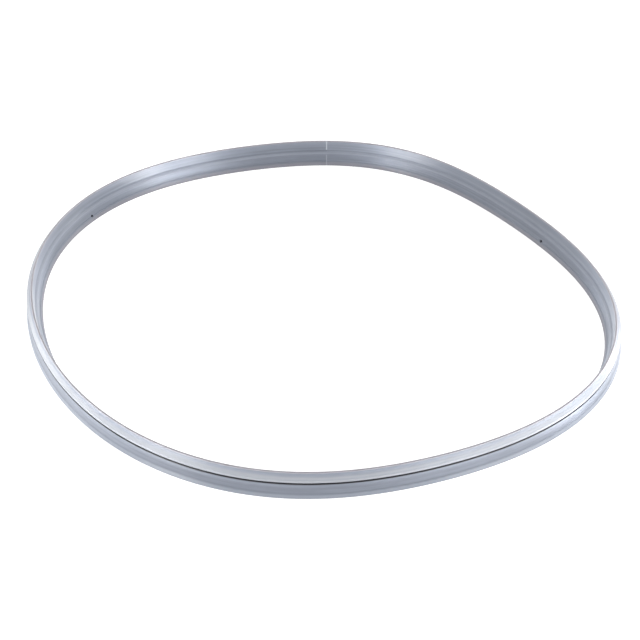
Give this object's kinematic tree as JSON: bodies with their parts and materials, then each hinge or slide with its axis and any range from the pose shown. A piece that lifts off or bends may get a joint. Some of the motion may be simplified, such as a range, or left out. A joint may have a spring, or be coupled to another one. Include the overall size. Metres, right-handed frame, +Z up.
{
  "type": "pressure cooker sealing ring",
  "caption": "Limp grey silicone lip seal for a stovetop pressure cooker lid: a spliced strip with a crown, an outer slit, an outer skirt and a vented inner lip, lying in a loose loop.",
  "frame": {"origin": "on the surface that both lips stand on, under the middle of the loop's outline", "axes": "+X along the loop's longest way, +Y away from the picture's camera, +Z up through the ring, from the lips to the crest"},
  "size_m": [0.264, 0.2335, 0.0121],
  "materials": {
    "silicone": "semi-gloss extruded grey silicone with faint streaks along the strip",
    "bond": "paler cured silicone bond, semi-gloss"
  },
  "bodies": {
    "root": {"seal_strip": "silicone", "splice_bond": "bond"}
  },
  "joints": []
}
